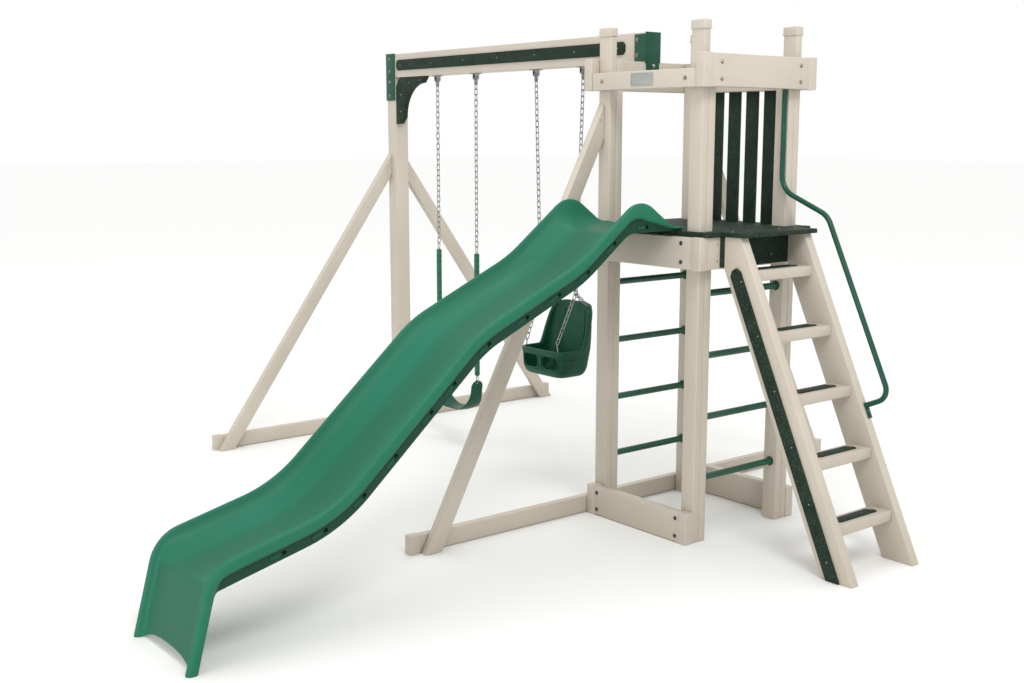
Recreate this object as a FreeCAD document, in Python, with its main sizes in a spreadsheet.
import FreeCAD, Part
import math
import os
import re
from FreeCAD import Placement, Rotation, Vector

# Play set: climbing tower with wave slide, ladder, rungs and a swing beam with two swings.
# Millimetres, +Z up, +X from the swing frame towards the ladder, +Y away from the slide.
# The origin lies on the ground under the middle of the whole set.

doc = FreeCAD.newDocument("PlaySet")
sheet = doc.addObject("Spreadsheet::Sheet", "Sizes")

SIZES = [
    ("towerX", 812), ("towerY", 681.5),
    ("towerWide", 708), ("towerDeep", 702), ("postHigh", 2497),
    ("postWide", 82), ("postThick", 43), ("stripThick", 45),
    ("boardTall", 152), ("boardThick", 48), ("capWall", 3), ("capLong", 57), ("postCapTall", 41),
    ("railTall", 86), ("baseRailTall", 88), ("baseRailThick", 42),
    ("railTop", 2348), ("slimRailTop", 2280), ("deckTop", 1525), ("deckThick", 22),
    ("deckBoardWide", 141), ("deckGap", 3), ("deckOver", 60),
    ("rungRadius", 16.7), ("rungPitch", 304.8), ("flangeRadius", 24), ("flangeThick", 5),
    ("slatWide", 72), ("slatThick", 22), ("slatPitch", 118),
    ("beamTall", 152), ("beamThick", 98), ("beamOff", 23),
    ("beamFarX", -2798), ("farPostWide", 97),
    ("rearPlateThick", 5), ("stripOnBeam", 68), ("stripProud", 12),
    ("railHalfNear", 1552), ("railHalfFar", 1385),
    ("braceWide", 82), ("braceThick", 43), ("gussetThick", 36),
    ("stringerGap", 410), ("stringerThick", 51), ("stringerFoot", 170), ("stringerRun", 697),
    ("treadDeep", 114), ("treadTall", 50), ("treadPitch", 277.5), ("treadTop", 1350), ("gripThick", 3),
    ("headerThick", 22), ("topTreadOver", 12),
    ("pipeRadius", 13), ("slideHalf", 262), ("slideWall", 44), ("slideBed", 12),
    ("skirtDrop", 105), ("skirtExitDrop", 48), ("bedDrop", 84), ("bedExitDrop", 26),
    ("hangerSpread", 408), ("toddlerSpread", 315), ("beltMiddle", -2083), ("toddlerMiddle", -1096),
    ("linkWire", 5.6), ("linkInside", 35), ("linkWide", 25), ("pivotDrop", 26),
    ("sleeveRadius", 13), ("sleeveTop", 1238), ("sleeveBottom", 455), ("beltThick", 8), ("beltWide", 132),
    ("beltLink", 431), ("beltTop", 425), ("beltLow", 212), ("beltHoleZ", 409), ("beltHoleRadius", 7.2),
    ("hookDrop", 34), ("hookPlate", 8), ("hookEye", 4.2), ("hangerPin", 5), ("hangerPinHole", 5.4),
    ("ringRadius", 14), ("ringWire", 8), ("ringTop", 1100), ("seatHookX", 136),
    ("frontHookY", -98), ("frontHookZ", 790), ("backHookY", 120), ("backHookZ", 1004),
    ("bucketWide", 388), ("bucketWall", 12), ("bucketFront", 26), ("bucketBack", 8),
    ("legWide", 130), ("legTall", 78), ("legLow", 636), ("slack", 0.3), ("eyeSlack", 1.8),
]
for row, (alias, number) in enumerate(SIZES, start=1):
    sheet.set("A%d" % row, alias)
    sheet.set("B%d" % row, str(number))
    sheet.setAlias("B%d" % row, alias)
doc.recompute()

size = {alias: float(sheet.get(alias)) for alias, number in SIZES}
halfWide = size["towerWide"] / 2
halfDeep = size["towerDeep"] / 2
nodes = []


def bound(text):
    """An expression on the sheet: every name in the text is one of its aliases."""
    return re.sub(r"[A-Za-z]\w*", lambda found: "Sizes." + found.group(0), text)


def at(x, y, z):
    """A point given from the tower's middle on the ground."""
    return Vector(size["towerX"] + x, size["towerY"] + y, z)


def node(label, shape_object):
    shape_object.Label = label
    nodes.append(shape_object)
    return shape_object


def box(name, corner, sizes):
    """A board whose three sizes are expressions on the sheet, placed by its low corner."""
    made = doc.addObject("Part::Box", name)
    for prop, text in zip(("Length", "Width", "Height"), sizes):
        made.setExpression(prop, bound(text))
    made.Placement.Base = at(*corner)
    return made


def group(name, members):
    made = doc.addObject("Part::Compound", name)
    made.Links = members
    return made


def feature(name, shape):
    made = doc.addObject("Part::Feature", name)
    made.Shape = shape
    made.Placement = Placement(at(0, 0, 0), Rotation())
    return made


def profile_body(name, outline, plane, thick, shift):
    """A PartDesign body: an outline of points and arcs on an origin plane, padded by a sheet size.
    An arc is a pair of points, its middle and its end. The YZ pad grows along +X, the XZ pad along -Y."""
    body = doc.addObject("PartDesign::Body", name)
    sketch = body.newObject("Sketcher::SketchObject", name + "_outline")
    origin_plane = [item for item in body.Origin.OriginFeatures if item.Role == plane][0]
    sketch.AttachmentSupport = (origin_plane, [""])
    sketch.MapMode = "FlatFace"
    here = outline[0]
    steps = outline[1:] + [outline[0]]
    for step in steps:
        if isinstance(step[0], tuple):
            middle, end = step
            curve = Part.Arc(Vector(*here, 0), Vector(*middle, 0), Vector(*end, 0))
        else:
            end = step
            curve = Part.LineSegment(Vector(*here, 0), Vector(*end, 0))
        sketch.addGeometry(curve, False)
        here = end
    pad = body.newObject("PartDesign::Pad", name + "_pad")
    pad.Profile = sketch
    pad.setExpression("Length", bound(thick))
    body.Tip = pad
    body.Placement = Placement(at(*shift), Rotation())
    return body


def rounded_edges(points, radii, plane_x):
    """Edges in a YZ plane: straight runs joined by tangent arcs at the inner points."""
    corners = [Vector(plane_x, y, z) for y, z in points]
    edges = []
    here = corners[0]
    for before, corner, after, radius in zip(corners, corners[1:], corners[2:], radii):
        into = (corner - before).normalize()
        out = (after - corner).normalize()
        turn = into.getAngle(out)
        reach = radius * math.tan(turn / 2)
        start = corner - into * reach
        end = corner + out * reach
        inward = (out - into).normalize()
        middle = corner + inward * (radius / math.cos(turn / 2) - radius)
        edges.append(Part.LineSegment(here, start).toShape())
        edges.append(Part.Arc(start, middle, end).toShape())
        here = end
    edges.append(Part.LineSegment(here, corners[-1]).toShape())
    return edges


def offset_line(points, distances):
    """The same chain of straight lines, each run moved to its right by a distance of its own."""
    moved = []
    for first, second, distance in zip(points, points[1:], distances):
        run = Vector(second[0] - first[0], second[1] - first[1], 0).normalize()
        side = Vector(run.y, -run.x, 0) * distance
        moved.append((Vector(*first, 0) + side, Vector(*second, 0) + side))
    result = [(moved[0][0].x, moved[0][0].y)]
    for (a, b), (c, d) in zip(moved, moved[1:]):
        cross = (b.x - a.x) * (d.y - c.y) - (b.y - a.y) * (d.x - c.x)
        along = ((c.x - a.x) * (d.y - c.y) - (c.y - a.y) * (d.x - c.x)) / cross
        result.append((a.x + (b.x - a.x) * along, a.y + (b.y - a.y) * along))
    result.append((moved[-1][1].x, moved[-1][1].y))
    return result


# ---- tower posts, strips and caps

def post_corners():
    left = -halfWide
    right = halfWide - size["postWide"]
    front = -halfDeep
    back = halfDeep - size["postThick"]
    return {"front_left": (left, front), "front_right": (right, front),
            "back_right": (right, back), "back_left": (left, back)}


def build_posts():
    caps = []
    strips = []
    wall = size["capWall"]
    for place, (x, y) in post_corners().items():
        post = box("post_" + place, (x, y, 0), ("postWide", "postThick", "postHigh"))
        node("post_" + place, post)
        strip_y = y + size["postThick"] if y < 0 else y - size["stripThick"]
        strips.append(box("strip_" + place, (x, strip_y, 0), ("postWide", "stripThick", "railTop")))
        low = size["postHigh"] + wall - size["postCapTall"]
        outer = box("cap_outer_" + place, (x - wall, y - wall, low),
                    ("postWide + 2 * capWall", "postThick + 2 * capWall", "postCapTall"))
        inner = box("cap_inner_" + place, (x, y, low),
                    ("postWide", "postThick", "postCapTall - capWall"))
        cap = doc.addObject("Part::Cut", "cap_" + place)
        cap.Base = outer
        cap.Tool = inner
        caps.append(cap)
    node("post_strips", group("post_strips", strips))
    node("post_caps", group("post_caps", caps))


# ---- boards with slip-over end caps

def end_cap(name, low, high, open_side):
    """A thin-walled cap from its low to its high corner, open on one side of one axis."""
    wall = size["capWall"]
    outer = doc.addObject("Part::Box", name + "_outer")
    inner = doc.addObject("Part::Box", name + "_inner")
    low_in = [value + wall for value in low]
    high_in = [value - wall for value in high]
    axis, sign = open_side
    if sign > 0:
        high_in[axis] = high[axis]
    else:
        low_in[axis] = low[axis]
    for made, start, stop in ((outer, low, high), (inner, low_in, high_in)):
        made.Length, made.Width, made.Height = [b - a for a, b in zip(start, stop)]
        made.Placement.Base = at(*start)
    cap = doc.addObject("Part::Cut", name)
    cap.Base = outer
    cap.Tool = inner
    return cap


def capped_board(name, low, sizes, axis, caps):
    """A board along X (axis 0) or Y (axis 1), with a cap on each end collected in caps."""
    board = node(name, box(name, low, sizes))
    doc.recompute()
    wall = size["capWall"]
    lengths = [board.Length.Value, board.Width.Value, board.Height.Value]
    outer_low = [value - wall for value in low]
    outer_high = [a + b + wall for a, b in zip(low, lengths)]
    for end, sign in (("a", 1), ("b", -1)):
        cap_low = list(outer_low)
        cap_high = list(outer_high)
        if sign > 0:
            cap_high[axis] = outer_low[axis] + size["capLong"]
        else:
            cap_low[axis] = outer_high[axis] - size["capLong"]
        caps.append(end_cap("%s_cap_%s" % (name, end), cap_low, cap_high, (axis, sign)))
    return board


def build_boards():
    wall = size["capWall"]
    thick = size["boardThick"]
    tall_caps = []
    outside = halfDeep + wall
    wide = ("towerWide", "boardThick", "boardTall")
    capped_board("base_board_front", (-halfWide, -outside - thick, wall), wide, 0, tall_caps)
    capped_board("base_board_back", (-halfWide, outside, wall), wide, 0, tall_caps)
    rim_low = size["deckTop"] - size["deckThick"] - size["boardTall"] - wall
    rim = ("towerWide + 2 * boardThick + 2 * capWall", "boardThick", "boardTall")
    rim_x = -halfWide - thick - wall
    capped_board("deck_rim_front", (rim_x, -outside - thick, rim_low), rim, 0, tall_caps)
    capped_board("deck_rim_back", (rim_x, outside, rim_low), rim, 0, tall_caps)
    top_low = size["railTop"] - size["boardTall"]
    tall = ("boardThick", "towerDeep + 2 * boardThick + 2 * capWall", "boardTall")
    for name, x in (("top_rail_right", halfWide + wall), ("top_rail_left", -halfWide - wall - thick)):
        capped_board(name, (x, -outside - thick, top_low), tall, 1, tall_caps)
    node("board_end_caps", group("board_end_caps", tall_caps))
    slim = ("towerWide", "boardThick", "railTall")
    slim_low = size["slimRailTop"] - size["railTall"]
    node("top_rail_front", box("top_rail_front", (-halfWide, -halfDeep - thick, slim_low), slim))
    node("top_rail_back", box("top_rail_back", (-halfWide, halfDeep, slim_low), slim))
    side = ("boardThick", "towerDeep", "boardTall")
    node("deck_rim_right", box("deck_rim_right", (halfWide, -halfDeep, rim_low), side))
    node("deck_rim_left", box("deck_rim_left", (-halfWide - thick, -halfDeep, rim_low), side))


def build_base_rails():
    """Ground rails that run along Y under the braces, one at the tower and one at the far post."""
    wall = size["capWall"]
    caps = []
    near_x = -halfWide - 2 * wall - size["baseRailThick"] - 1
    far_x = size["beamFarX"] - wall - size["baseRailThick"]
    plans = (("base_rail_tower", near_x, "railHalfNear"), ("base_rail_far", far_x, "railHalfFar"))
    for name, x, half in plans:
        y = size["beamOff"] - size[half] + wall
        sizes = ("baseRailThick", "2 * (%s - capWall)" % half, "baseRailTall")
        capped_board(name, (x, y, wall), sizes, 1, caps)
    node("rail_end_caps", group("rail_end_caps", caps))


# ---- deck

def build_deck():
    doc.recompute()
    boards = []
    pitch = size["deckBoardWide"] + size["deckGap"]
    count = 6
    low = size["deckTop"] - size["deckThick"]
    first = halfWide + size["deckOver"] + size["deckGap"] - count * pitch + size["deckGap"]
    notch_high = size["railTop"]
    posts = []
    for place, (x, y) in post_corners().items():
        depth = size["postThick"] + size["stripThick"]
        strip_y = y if y < 0 else y - size["stripThick"]
        corner = Vector(x - 0.5, strip_y - 0.5, 0)
        posts.append(Part.makeBox(size["postWide"] + 1, depth + 1, notch_high, corner))
    left = -halfWide - size["boardThick"]
    for index in range(count):
        x = max(first + index * pitch, left)
        right = first + index * pitch + size["deckBoardWide"]
        raw = Part.makeBox(right - x, size["towerDeep"] + 2 * size["boardThick"] - 30, size["deckThick"],
                           Vector(x, -halfDeep - size["boardThick"] + 20, low))
        for post in posts:
            raw = raw.cut(post)
        boards.append(max(raw.Solids, key=lambda solid: solid.Volume))
    node("deck_boards", feature("deck_boards", Part.makeCompound(boards)))
    joists = []
    for index, y in enumerate((-120, 80)):
        joists.append(box("joist_%d" % index, (-halfWide, y, low - size["railTall"]),
                          ("towerWide", "baseRailThick", "railTall")))
    node("deck_joists", group("deck_joists", joists))
    header_low = low - size["boardTall"] + 6
    header_half = halfDeep - size["postThick"] - size["stripThick"]
    header = doc.addObject("Part::Box", "ladder_header")
    header.setExpression("Length", bound("headerThick"))
    header.setExpression("Width", bound("towerDeep - 2 * postThick - 2 * stripThick"))
    header.setExpression("Height", bound("boardTall - 6"))
    header.Placement.Base = at(halfWide + size["boardThick"] + 0.2, -header_half, header_low)
    node("ladder_header", header)


def build_slats():
    slats = []
    back = halfDeep
    for index in range(4):
        x = (index - 1.5) * size["slatPitch"] - size["slatWide"] / 2
        slat = box("slat_%d" % index, (x, back - size["slatThick"], size["deckTop"]),
                   ("slatWide", "slatThick", "slimRailTop - deckTop"))
        slats.append(slat)
    node("back_slats", group("back_slats", slats))
    inner_y = back - size["slatThick"] - size["baseRailThick"]
    rail = box("slat_rail", (-halfWide + size["postWide"], inner_y, size["slimRailTop"] - size["railTall"]),
               ("towerWide - 2 * postWide", "baseRailThick", "railTall"))
    node("slat_rail", rail)


def build_rungs():
    """Four pipe rungs on each side, between the strips, with a round flange on each end."""
    inner = halfDeep - size["postThick"] - size["stripThick"]
    post_middle = halfWide - size["postWide"] / 2
    for name, x in (("rungs_left", -post_middle), ("rungs_right", post_middle)):
        members = []
        for index in range(1, 5):
            z = index * size["rungPitch"] + 4
            pipe = doc.addObject("Part::Cylinder", "%s_pipe_%d" % (name, index))
            pipe.setExpression("Radius", bound("rungRadius"))
            pipe.setExpression("Height", bound("towerDeep - 2 * postThick - 2 * stripThick"))
            pipe.Placement = Placement(at(x, -inner, z), Rotation(Vector(1, 0, 0), -90))
            flanges = []
            for end, y in (("a", -inner), ("b", inner - size["flangeThick"])):
                flange = doc.addObject("Part::Cylinder", "%s_flange_%d%s" % (name, index, end))
                flange.setExpression("Radius", bound("flangeRadius"))
                flange.setExpression("Height", bound("flangeThick"))
                flange.Placement = Placement(at(x, y, z), Rotation(Vector(1, 0, 0), -90))
                flanges.append(flange)
            rung = doc.addObject("Part::MultiFuse", "%s_%d" % (name, index))
            rung.Shapes = [pipe] + flanges
            members.append(rung)
        node(name, group(name, members))


# ---- swing frame

def brace_outline(foot, post_face, top):
    """A board leaning from its outer foot on the ground to a vertical cut on a post's face."""
    lean = math.atan2(post_face - foot, top)
    level = size["braceWide"] / math.cos(lean)
    drop = abs(size["braceWide"] / math.sin(lean))
    inward = 1 if post_face > foot else -1
    return [(foot, 0), (foot + inward * level, 0), (post_face, top - drop), (post_face, top)]


def build_braces():
    middle = size["beamOff"]
    near_x = -halfWide
    far_x = size["beamFarX"]
    half_post = size["farPostWide"] / 2
    plans = [("tower_brace_front", near_x, middle - 1496, -halfDeep, 2134),
             ("tower_brace_back", near_x, middle + 1496, halfDeep, 2134),
             ("far_brace_front", far_x, middle - 1372, middle - half_post, 1851),
             ("far_brace_back", far_x, middle + 1372, middle + half_post, 1851)]
    for name, x, foot, face, top in plans:
        node(name, profile_body(name, brace_outline(foot, face, top), "YZ_Plane", "braceThick", (x, 0, 0)))


def build_beam():
    middle = size["beamOff"]
    half = size["beamThick"] / 2
    low = size["railTop"]
    far = size["beamFarX"]
    near = -halfWide
    post_low = (far, middle - size["farPostWide"] / 2, 0)
    post = box("far_post", post_low, ("farPostWide", "farPostWide", "railTop"))
    node("far_post", post)
    beam = doc.addObject("Part::Box", "swing_beam")
    beam.setExpression("Length", bound("-beamFarX - towerWide / 2"))
    beam.setExpression("Width", bound("beamThick"))
    beam.setExpression("Height", bound("beamTall"))
    beam.Placement.Base = at(far, middle - half, low)
    node("swing_beam", beam)
    start = far + 125
    end = near - 151
    cut = 16
    strip_low = low + 44
    strip_high = strip_low + size["stripOnBeam"]
    outline = [(start + cut, strip_low), (end - cut, strip_low), (end, strip_low + cut),
               (end, strip_high - cut), (end - cut, strip_high), (start + cut, strip_high),
               (start, strip_high - cut), (start, strip_low + cut)]
    back_face = middle + half + size["stripProud"]
    for name, y in (("beam_strip_front", middle - half), ("beam_strip_back", back_face)):
        node(name, profile_body(name, outline, "XZ_Plane", "stripProud", (0, y, 0)))
    corner_x = far + size["farPostWide"]
    gusset = [(corner_x, low - 55), (corner_x, low - 302), (corner_x + 42, low - 302),
              (corner_x + 87, low - 258), ((corner_x + 149, low - 105), (corner_x + 303, low - 42)),
              (corner_x + 342, low), (corner_x + 45, low)]
    body = profile_body("beam_gusset", gusset, "XZ_Plane", "gussetThick",
                        (0, middle - half + 4 + size["gussetThick"], 0))
    node("beam_gusset", body)
    build_brackets(near, far, middle, half, low)


def build_brackets(near, far, middle, half, low):
    """Folded plates: one caps the beam's tower end, one ties the beam to the far post."""
    plate = size["rearPlateThick"]
    high = low + size["beamTall"]
    gap = 0.2
    corner = Vector(near + gap, middle - half - plate, low - 2)
    front = Part.makeBox(plate, 2 * (half + plate), high - low + 4, corner)
    tab = Part.makeBox(plate, 2 * half - 8, 40, Vector(near + gap, middle - half + 4, low - 40))
    shape = front.fuse(tab)
    for y in (middle - half - plate, middle + half):
        shape = shape.fuse(Part.makeBox(80 + gap, plate, 138, Vector(near - 80, y, low + 6)))
    node("beam_bracket_near", feature("beam_bracket_near", shape.removeSplitter()))
    tall = 305
    start = high + 4 - tall
    back = Part.makeBox(plate, 2 * (half + plate), tall, Vector(far - plate, middle - half - plate, start))
    shape = back
    for y in (middle - half - plate, middle + half):
        side = Part.makeBox(size["farPostWide"], plate, tall, Vector(far, y, start))
        shape = shape.fuse(side)
    node("beam_bracket_far", feature("beam_bracket_far", shape.removeSplitter()))


# ---- ladder

def stringer_outline():
    back = halfWide + size["boardThick"] + size["headerThick"] + 1
    top = size["deckTop"] - size["deckThick"]
    front = halfWide + 171
    slope = size["stringerRun"] / top
    foot = front + size["stringerRun"]
    lift = (foot - size["stringerFoot"] - back) / slope
    outline = [(back, top), (back, lift), (foot - size["stringerFoot"], 0), (foot, 0), (front, top)]
    return outline, slope, front, top


def build_ladder():
    outline, slope, front, top = stringer_outline()
    outer = size["stringerGap"] / 2 + size["stringerThick"]
    front_face = -outer + size["stringerThick"]
    for name, y in (("ladder_stringer_front", front_face), ("ladder_stringer_back", outer)):
        node(name, profile_body(name, outline, "XZ_Plane", "stringerThick", (0, y, 0)))
    strip_foot = front + size["stringerRun"] - 64
    wide = 72
    rise = top - 155
    lean = slope * rise
    tip = strip_foot - lean
    accent = [(strip_foot, 2), (tip, rise), (tip - 26, rise + 14), (tip - 50, rise - 2),
              (tip - wide + 14, rise - 30), (strip_foot - wide, 2)]
    node("stringer_strip", profile_body("stringer_strip", accent, "XZ_Plane", "stripProud", (0, -outer, 0)))
    grips = []
    half_gap = size["stringerGap"] / 2
    for index in range(5):
        z = size["treadTop"] - index * size["treadPitch"]
        x = front + slope * (top - z) - 15 - size["treadDeep"]
        name = "ladder_tread_%d" % (index + 1)
        tread = box(name, (x, -half_gap, z - size["treadTall"]), ("treadDeep", "stringerGap", "treadTall"))
        node(name, tread)
        grips.append(grip_strip("grip_%d" % (index + 1), x + 22, z))
    node("tread_grips", group("tread_grips", grips))
    over = size["topTreadOver"]
    start = halfWide + size["deckOver"] + size["deckGap"]
    high = size["deckTop"] - size["deckThick"] + 0.2
    tread = doc.addObject("Part::Box", "top_tread")
    tread.Length = front + 30 - start
    tread.Width = 2 * (outer + over)
    tread.setExpression("Height", bound("deckThick"))
    tread.Placement.Base = at(start, -outer - over, high)
    node("top_tread", tread)


def grip_strip(name, x, z):
    """A grip pad let onto a tread, with its four corners cut off."""
    half = 145
    deep = 60
    cut = 26
    slight = cut / 2
    points = [(x + cut, -half), (x + deep - slight, -half), (x + deep, -half + slight),
              (x + deep, half - slight), (x + deep - slight, half), (x + cut, half), (x, half - cut),
              (x, -half + cut)]
    wire = Part.makePolygon([Vector(px, py, z) for px, py in points + points[:1]])
    return feature(name, Part.Face(wire).extrude(Vector(0, 0, size["gripThick"])))


def pipe_along(points, bend, radius):
    """A round pipe in an XZ plane: straight runs joined by bends."""
    edges = []
    corners = [Vector(x, y, z) for x, y, z in points]
    here = corners[0]
    for before, corner, after in zip(corners, corners[1:], corners[2:]):
        into = (corner - before).normalize()
        out = (after - corner).normalize()
        turn = into.getAngle(out)
        reach = bend * math.tan(turn / 2)
        start = corner - into * reach
        end = corner + out * reach
        middle = corner + (out - into).normalize() * (bend / math.cos(turn / 2) - bend)
        edges += [Part.LineSegment(here, start).toShape(), Part.Arc(start, middle, end).toShape()]
        here = end
    edges.append(Part.LineSegment(here, corners[-1]).toShape())
    section = Part.Wire([Part.Circle(corners[0], corners[1] - corners[0], radius).toShape()])
    return Part.Wire(edges).makePipeShell([section], True, False)


def build_handrail():
    outline, slope, front, top = stringer_outline()
    y = 245
    radius = size["pipeRadius"]
    low_z = 704
    face_x = front + slope * (top - low_z)
    lean = math.atan(slope)
    lift = 3
    end = (face_x + lift * math.cos(lean), low_z + lift * math.sin(lean))
    points = [(halfWide - 10, y, 2262), (halfWide - 10, y, 1709), (halfWide + 275, y, 1592),
              (halfWide + 671, y, 762), (end[0], y, end[1])]
    pipe = pipe_along(points, 62, radius)
    tab = Part.makeBox(5, 30, 78, Vector(0, -15, -64))
    tab.Placement = Placement(Vector(face_x + 0.4, y, low_z), Rotation(Vector(0, 1, 0), -math.degrees(lean)))
    node("handrail", feature("handrail", pipe.fuse(tab)))


# ---- slide

RAIL_LINE = [(-331, 1535), (-640, 1700), (-1018, 1412), (-1582, 1157), (-2297, 525), (-2832, 396), (-2938, 0)]
RAIL_BENDS = [140, 700, 600, 600, 170]
RUNS_TO_EXIT = 5


def level_start(line, z):
    """Replace the first run of an offset line by a level one at the given height."""
    (ya, za), (yb, zb) = line[1], line[2]
    y = ya + (z - za) * (yb - ya) / (zb - za)
    return [(line[0][0], z), (y, z)] + line[2:]


def ground_end(line):
    """Let the last run of an offset line end on the ground."""
    (ya, za), (yb, zb) = line[-2], line[-1]
    y = ya + (0 - za) * (yb - ya) / (zb - za)
    return line[:-1] + [(y, 0)]


def ribbon(top_line, top_bends, low_line, low_bends, x, wide):
    """A solid between two rounded lines, from x, so wide along X."""
    upper = rounded_edges(top_line, top_bends, x)
    lower = rounded_edges(low_line, low_bends, x)
    ends = [Part.LineSegment(Vector(x, *top_line[i]), Vector(x, *low_line[i])).toShape() for i in (0, -1)]
    wire = Part.Wire(Part.__sortEdges__(upper + lower + ends))
    return Part.Face(wire).extrude(Vector(wide, 0, 0))


def below_rail(drop, exit_drop, start_z):
    """A line under the rail line, level at the deck and ending on the ground."""
    drops = [-drop] * RUNS_TO_EXIT + [-exit_drop]
    return ground_end(level_start(offset_line(RAIL_LINE, drops), start_z))


def build_slide():
    """A moulded wave slide: a bed between two walls whose tops carry the rolled rails."""
    low = size["deckTop"] + 1
    bed = size["slideBed"]
    skirt = below_rail(size["skirtDrop"], size["skirtExitDrop"], low)
    bed_top = below_rail(size["bedDrop"], size["bedExitDrop"], low + bed)
    bed_low = below_rail(size["bedDrop"] + bed, size["bedExitDrop"] + bed, low)
    skirt[0] = (RAIL_LINE[0][0], low)
    rail = [(RAIL_LINE[0][0], low + 12)] + RAIL_LINE[1:]
    half = size["slideHalf"]
    wall = size["slideWall"]
    low_bends = [120, 700, 500, 700, 100]
    shape = ribbon(bed_top, low_bends, bed_low, low_bends, -half + wall / 2, 2 * half - wall)
    for x in (-half, half - wall):
        shape = shape.fuse(ribbon(rail, RAIL_BENDS, skirt, low_bends, x, wall))
    node("wave_slide", feature("wave_slide", shape.removeSplitter()))


# ---- swings

def chain_link(centre, direction, across):
    """One straight link: round wire along a stadium line, long way in the given direction."""
    wire = size["linkWire"]
    bend = (size["linkWide"] - wire) / 2
    straight = (size["linkInside"] + wire) / 2 - bend
    long_way = Vector(direction).normalize()
    side = Vector(across).normalize()
    turns = ((1, 1), (1, -1), (-1, -1), (-1, 1))
    corners = [centre + long_way * (straight * a) + side * (bend * b) for a, b in turns]
    top = centre + long_way * (straight + bend)
    bottom = centre - long_way * (straight + bend)
    edges = [Part.LineSegment(corners[1], corners[2]).toShape(),
             Part.Arc(corners[2], bottom, corners[3]).toShape(),
             Part.LineSegment(corners[3], corners[0]).toShape(),
             Part.Arc(corners[0], top, corners[1]).toShape()]
    section = Part.Wire([Part.Circle(corners[1], long_way, wire / 2).toShape()])
    path = Part.Wire(edges)
    return path.makePipeShell([section], True, False)


def chain(start, end, across, ends_turned):
    """Links from one point to another, each turned a quarter from the last. The points are the inner
    ends of the first and last links. The first lies across; the last is turned where asked."""
    run = end - start
    count = max(2, round(run.Length / (size["linkInside"] - 0.4)))
    if (count % 2 == 0) != ends_turned:
        count += 1
    pitch = run.Length / count
    way = Vector(run).normalize()
    other = way.cross(across).normalize()
    first = other.cross(way).normalize()
    return [chain_link(start + way * (pitch * (index + 0.5)), way, other if index % 2 else first)
            for index in range(count)]


def hook(x, y, z):
    """A hook plate that hangs on a hanger pin, with an eye below for the first link."""
    thick = size["hookPlate"]
    drop = size["hookDrop"]
    half = 12
    along = Vector(1, 0, 0)
    left = x - thick / 2
    shape = Part.makeBox(thick, 2 * half, drop, Vector(left, y - half, z - drop))
    for level in (z, z - drop):
        shape = shape.fuse(Part.makeCylinder(half, thick, Vector(left, y, level), along))
    for level, radius in ((z, size["hangerPinHole"]), (z - drop, size["hookEye"])):
        shape = shape.cut(Part.makeCylinder(radius, 2 * thick, Vector(x - thick, y, level), along))
    return shape.removeSplitter()


def hanger(x, y, z):
    """A beam hanger: a plate under the beam, two ears and the pin that a swing turns on."""
    low = size["railTop"]
    shape = Part.makeBox(64, 44, 5, Vector(x - 32, y - 22, low - 5))
    for ear in (x - 16, x + 11):
        shape = shape.fuse(Part.makeBox(5, 28, low - z + 2, Vector(ear, y - 14, z - 2)))
        shape = shape.fuse(Part.makeCylinder(14, 5, Vector(ear, y, z), Vector(1, 0, 0)))
    return shape.fuse(Part.makeCylinder(size["hangerPin"], 44, Vector(x - 22, y, z), Vector(1, 0, 0)))


def swing_points():
    spread = size["hangerSpread"] / 2
    z = size["railTop"] - size["pivotDrop"]
    return z, {name: (size[name] - spread, size[name] + spread) for name in ("beltMiddle", "toddlerMiddle")}


def build_hangers():
    z, places = swing_points()
    y = size["beamOff"]
    shapes = [hanger(x, y, z) for pair in places.values() for x in pair]
    node("swing_hangers", feature("swing_hangers", Part.makeCompound(shapes)))


def build_belt_swing():
    z, places = swing_points()
    y = size["beamOff"]
    eye_low = z - size["hookDrop"] - size["hookEye"] + size["eyeSlack"]
    chain_low = size["sleeveTop"] + size["linkWire"] + size["eyeSlack"]
    hooks = []
    links = []
    sleeves = []
    for x in places["beltMiddle"]:
        hooks.append(hook(x, y, z))
        links += chain(Vector(x, y, eye_low), Vector(x, y, chain_low), Vector(1, 0, 0), False)
        low = size["sleeveBottom"]
        sleeves.append(Part.makeCylinder(size["sleeveRadius"], size["sleeveTop"] - low, Vector(x, y, low)))
        links.append(chain_link(Vector(x, y, size["beltLink"]), Vector(0, 0, 1), Vector(1, 0, 0)))
    node("belt_hooks", feature("belt_hooks", Part.makeCompound(hooks)))
    node("belt_chains", feature("belt_chains", Part.makeCompound(links)))
    node("belt_sleeves", feature("belt_sleeves", Part.makeCompound(sleeves)))
    node("belt_seat", feature("belt_seat", belt_seat_shape(places["beltMiddle"], y)))


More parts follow.
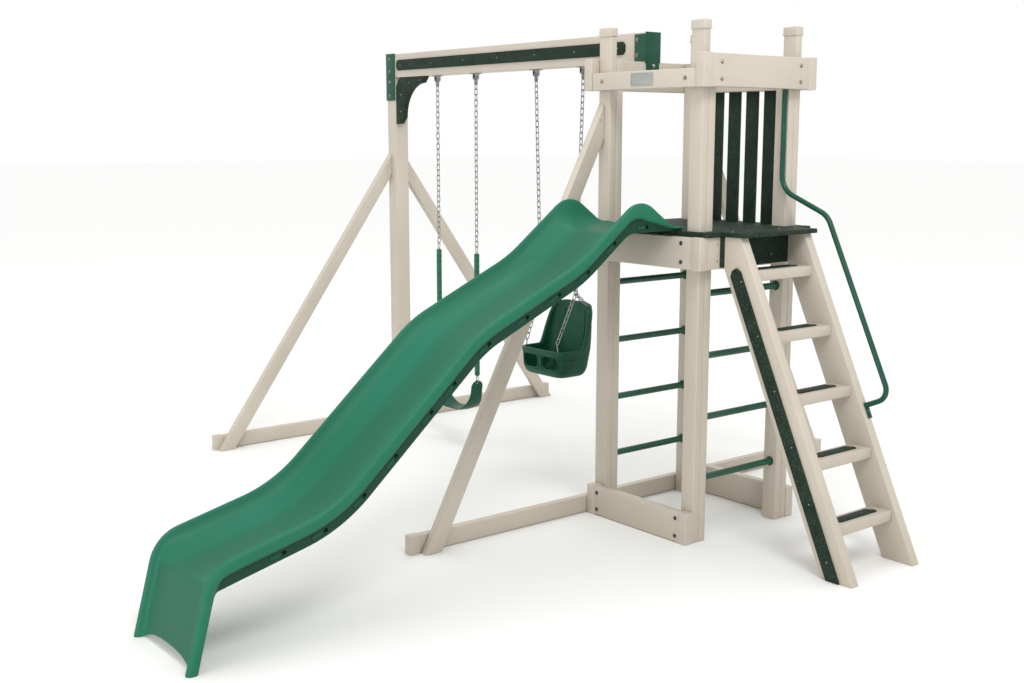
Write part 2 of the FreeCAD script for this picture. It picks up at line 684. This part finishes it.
def belt_seat_shape(ends, y):
    """A flexible strap hanging as a U between the two lower links, with a hole for each link."""
    low = size["beltLow"]
    top = size["beltTop"]
    thick = size["beltThick"]
    inset = 34
    bend = 140
    lean = inset / (top - low)
    outside = thick / 2 + lean * (top - size["beltHoleZ"])
    left = ends[0] - outside
    right = ends[1] + outside
    line = [(left, top), (left + inset, low), (right - inset, low), (right, top)]
    inner = offset_line(line, [-thick] * 3)
    inner[0] = (inner[0][0], top)
    inner[-1] = (inner[-1][0], top)
    outer_edges = rounded_edges(line, [bend, bend], 0)
    inner_edges = rounded_edges(inner, [bend - thick, bend - thick], 0)
    ends_edges = [Part.LineSegment(Vector(0, *line[i]), Vector(0, *inner[i])).toShape() for i in (0, -1)]
    face = Part.Face(Part.Wire(Part.__sortEdges__(outer_edges + inner_edges + ends_edges)))
    band = face.extrude(Vector(size["beltWide"], 0, 0))
    band.Placement = Placement(Vector(0, y + size["beltWide"] / 2, 0), Rotation(Vector(0, 0, 1), -90))
    for x in ends:
        start = Vector(x - 30, y, size["beltHoleZ"])
        band = band.cut(Part.makeCylinder(size["beltHoleRadius"], 60, start, Vector(1, 0, 0)))
    return band


def build_toddler_swing():
    """Two chains down to rings; from each ring a short chain runs to the seat's back and one to its front."""
    z, places = swing_points()
    y = size["beamOff"]
    left, right = places["toddlerMiddle"]
    middle = size["toddlerMiddle"]
    ring = size["ringRadius"]
    ring_wire = size["ringWire"] / 2
    top = size["ringTop"]
    slack = size["slack"]
    eye_low = z - size["hookDrop"] - size["hookEye"] + size["eyeSlack"]
    hooks = []
    links = []
    branches = []
    for x, side in ((left, -1), (right, 1)):
        hooks.append(hook(x, y, z))
        low_x = middle + side * size["toddlerSpread"] / 2
        chain_end = Vector(low_x, y, top - 2 * ring_wire - slack)
        links += chain(Vector(x, y, eye_low), chain_end, Vector(1, 0, 0), True)
        ring_centre = Vector(low_x, y, top - ring_wire - ring)
        branches.append(Part.makeTorus(ring, ring_wire, ring_centre, Vector(0, 1, 0)))
        for aside, target_y, target_z in ((-3.4, size["frontHookY"], size["frontHookZ"]),
                                          (3.4, size["backHookY"], size["backHookZ"])):
            start = Vector(low_x + side * aside, y, top - 2 * ring + slack)
            end = Vector(middle + side * size["seatHookX"], target_y, target_z)
            branches += chain(start, end, Vector(0, 1, 0), False)
    node("toddler_hooks", feature("toddler_hooks", Part.makeCompound(hooks)))
    node("toddler_chains", feature("toddler_chains", Part.makeCompound(links)))
    node("toddler_branch_chains", feature("toddler_branch_chains", Part.makeCompound(branches)))
    node("toddler_seat", feature("toddler_seat", toddler_seat_shape(middle)))


def toddler_seat_shape(middle):
    """A moulded bucket: high back, low sides and front, two leg holes and a slot in the back."""
    half = size["bucketWide"] / 2
    wall = size["bucketWall"]
    front = size["bucketFront"]
    back = size["bucketBack"]
    top = size["backHookZ"]
    outline = [(-124, 742), (-116, 616), (-20, 586), (88, 592), (130, 640), (156, 745), (172, 880),
               (174, top), (130, top), (112, 860), (56, 742)]
    outer = Part.makePolygon([Vector(0, y, z) for y, z in outline + outline[:1]])
    body = Part.Face(outer).extrude(Vector(2 * half, 0, 0))
    inside = [(-124 + front, 742 + 1), (-116 + front, 616 + wall), (-20, 586 + wall), (82, 592 + wall),
              (130 - back, 640), (156 - back, 745), (172 - back, 880), (174 - back, top + 1), (60, top + 1),
              (50, 743)]
    inner = Part.Face(Part.makePolygon([Vector(wall, y, z) for y, z in inside + inside[:1]]))
    hollow = inner.extrude(Vector(2 * (half - wall), 0, 0))
    shape = body.cut(hollow)
    leg = size["legWide"]
    for share in (0.27, 0.73):
        corner = Vector(2 * half * share - leg / 2, -150, size["legLow"])
        shape = shape.cut(Part.makeBox(leg, 90, size["legTall"], corner))
    slot = Part.makeBox(120, 60, 26, Vector(half - 60, 120, 930))
    shape = shape.cut(slot)
    shape.Placement = Placement(Vector(middle - half, 0, 0), Rotation())
    return shape.removeSplitter()


# ---- bolts and screws

def bolt_head(point, normal, radius, tall):
    """A domed head on a washer, standing on a surface."""
    washer = Part.makeCylinder(radius, tall * 0.3, point, normal)
    base = point + Vector(normal) * (tall * 0.3)
    return washer.fuse(Part.makeCone(radius * 0.8, radius * 0.45, tall * 0.7, base, normal))


def build_bolts():
    front = Vector(0, -1, 0)
    back = Vector(0, 1, 0)
    right = Vector(1, 0, 0)
    face = halfDeep + size["capWall"] + size["boardThick"]
    slim = halfDeep + size["boardThick"]
    spots = []
    inset = halfWide - size["postWide"] / 2 - 30
    for x in (-inset, inset):
        for y, way, slim_y in ((-face, front, -slim), (face, back, slim)):
            spots += [(x, y, z, way) for z in (33, 123, 1381, 1471)]
            spots.append((x, slim_y, 2237, way))
    side = halfWide + size["capWall"] + size["boardThick"]
    for y in (-283, 287):
        for z in (2231, 2308):
            spots += [(side, y, z, right), (-side, y, z, -right)]
    middle = size["beamOff"]
    half = size["beamThick"] / 2 + size["rearPlateThick"]
    far = size["beamFarX"] + size["farPostWide"] / 2 - 8
    for y, way in ((middle - half, front), (middle + half, back)):
        spots += [(far, y, z, way) for z in (2231, 2321, 2390, 2471)]
        spots += [(-halfWide - 61, y, z, way) for z in (2385, 2464)]
    spots.append((-halfWide + size["rearPlateThick"] + 0.2, middle + 4, 2330, right))
    heads = [bolt_head(Vector(x, y, z), way, 8.5, 7) for x, y, z, way in spots]
    node("carriage_bolts", feature("carriage_bolts", Part.makeCompound(heads)))


for build in (build_posts, build_boards, build_base_rails, build_deck, build_slats, build_rungs, build_braces,
              build_beam, build_ladder, build_handrail, build_slide, build_hangers, build_belt_swing,
              build_toddler_swing, build_bolts):
    build()
doc.recompute()

for item in doc.Objects:
    if "Invalid" in item.State or "Error" in item.State:
        raise RuntimeError("%s failed: %s" % (item.Label, item.State))
for item in nodes:
    if item.Shape.isNull() or not item.Shape.isValid():
        raise RuntimeError("%s has no valid shape" % item.Label)

os.makedirs("parts", exist_ok=True)
for item in nodes:
    item.Shape.exportStep(os.path.join("parts", item.Label + ".step"))
print(len(nodes), "nodes written")
